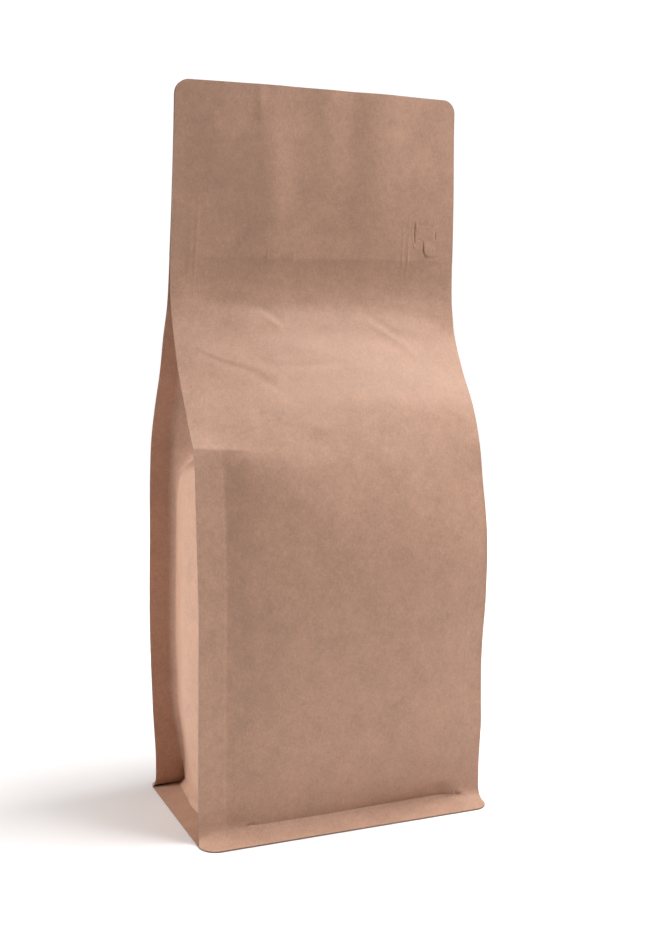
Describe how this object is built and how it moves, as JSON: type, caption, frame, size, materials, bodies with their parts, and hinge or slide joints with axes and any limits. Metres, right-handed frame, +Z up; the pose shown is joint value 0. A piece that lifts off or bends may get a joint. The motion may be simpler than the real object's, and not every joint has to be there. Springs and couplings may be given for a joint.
{
  "type": "flat-bottom kraft paper pouch",
  "caption": "Filled flat-bottom kraft pouch with sealed corner fins, folded sides, a sealed skirt round the base and a flat sealed header with a pull tab; stands upright on its base.",
  "frame": {"origin": "Middle of the base, on the surface that the pouch stands on.", "axes": "+Z points up from the base to the header; the front panel with the pull tab faces -Y; +X is to the right as the front is seen."},
  "size_m": [0.142, 0.0936, 0.3335],
  "materials": {
    "kraft": "matt uncoated kraft paper laminate"
  },
  "bodies": {
    "root": {"pouch": "kraft"}
  },
  "joints": []
}
